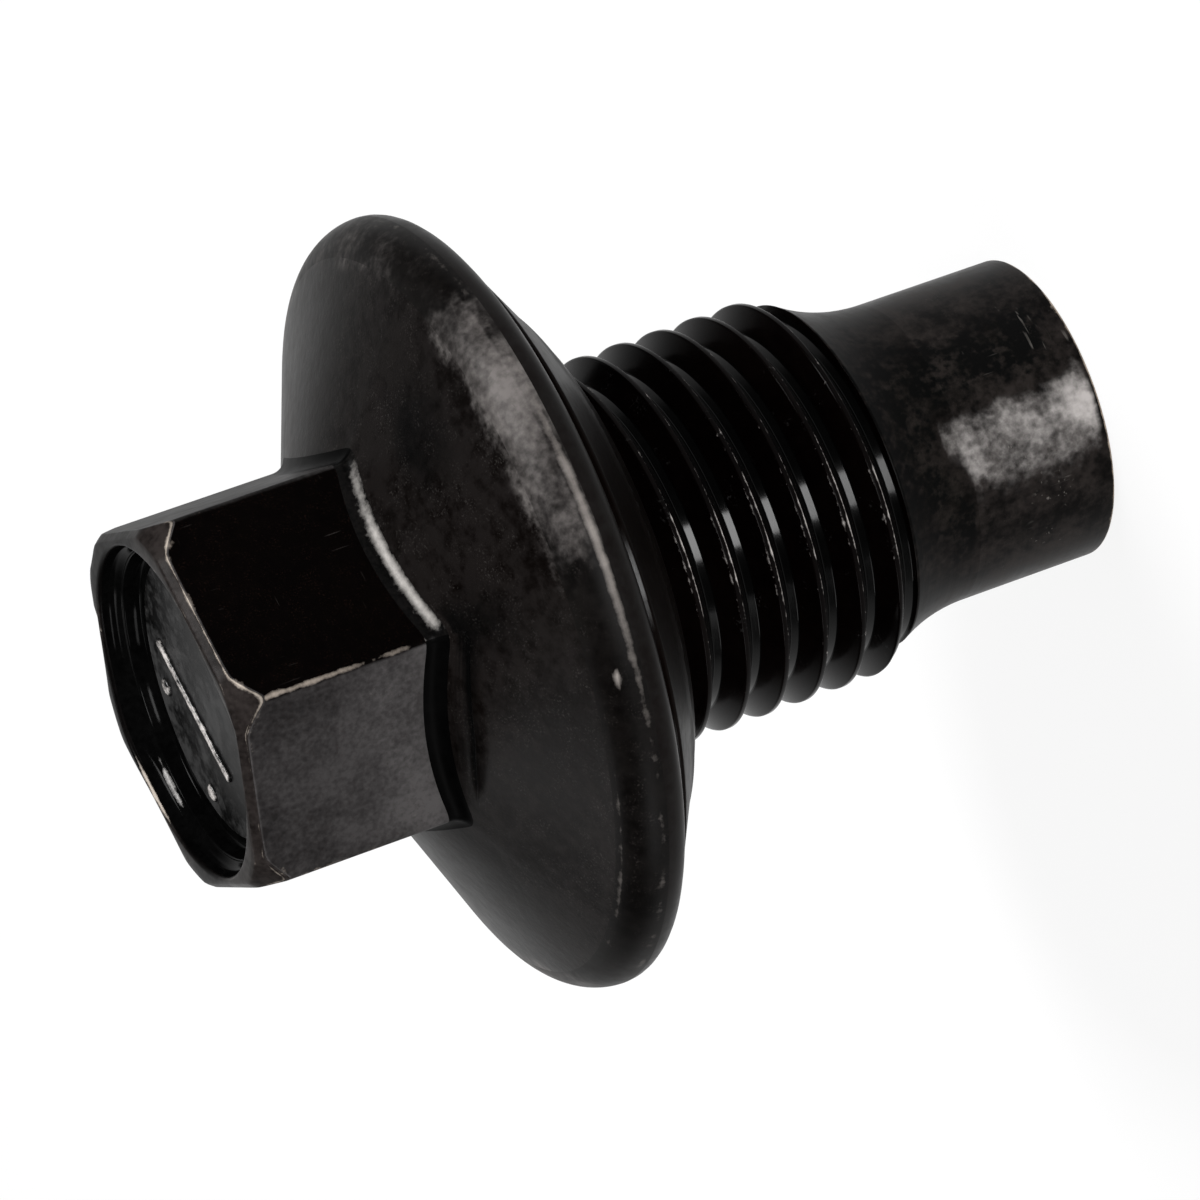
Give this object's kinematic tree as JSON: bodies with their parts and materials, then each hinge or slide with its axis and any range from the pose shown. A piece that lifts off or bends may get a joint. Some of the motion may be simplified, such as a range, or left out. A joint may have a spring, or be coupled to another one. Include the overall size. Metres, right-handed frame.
{
  "type": "oil drain plug",
  "caption": "Steel oil drain plug with a recessed hexagon head, a domed sealing flange, a captive moulded rubber seal, a metric fine thread and a plain pilot.",
  "frame": {"origin": "centre of the pilot's flat end, which is the bottom of the part as it stands", "axes": "+Z along the screw's axis from the pilot's end up to the head; +X through one corner of the hexagon; +Y square to one pair of its flats"},
  "size_m": [0.028, 0.028, 0.0339],
  "materials": {
    "steel": "near-black phosphate on forged steel, oiled satin, rubbed lighter on edges, crests and the pilot",
    "seal_rubber": "smooth moulded black rubber, satin"
  },
  "bodies": {
    "root": {"plug_body": "steel", "seal_ring": "seal_rubber"}
  },
  "joints": []
}
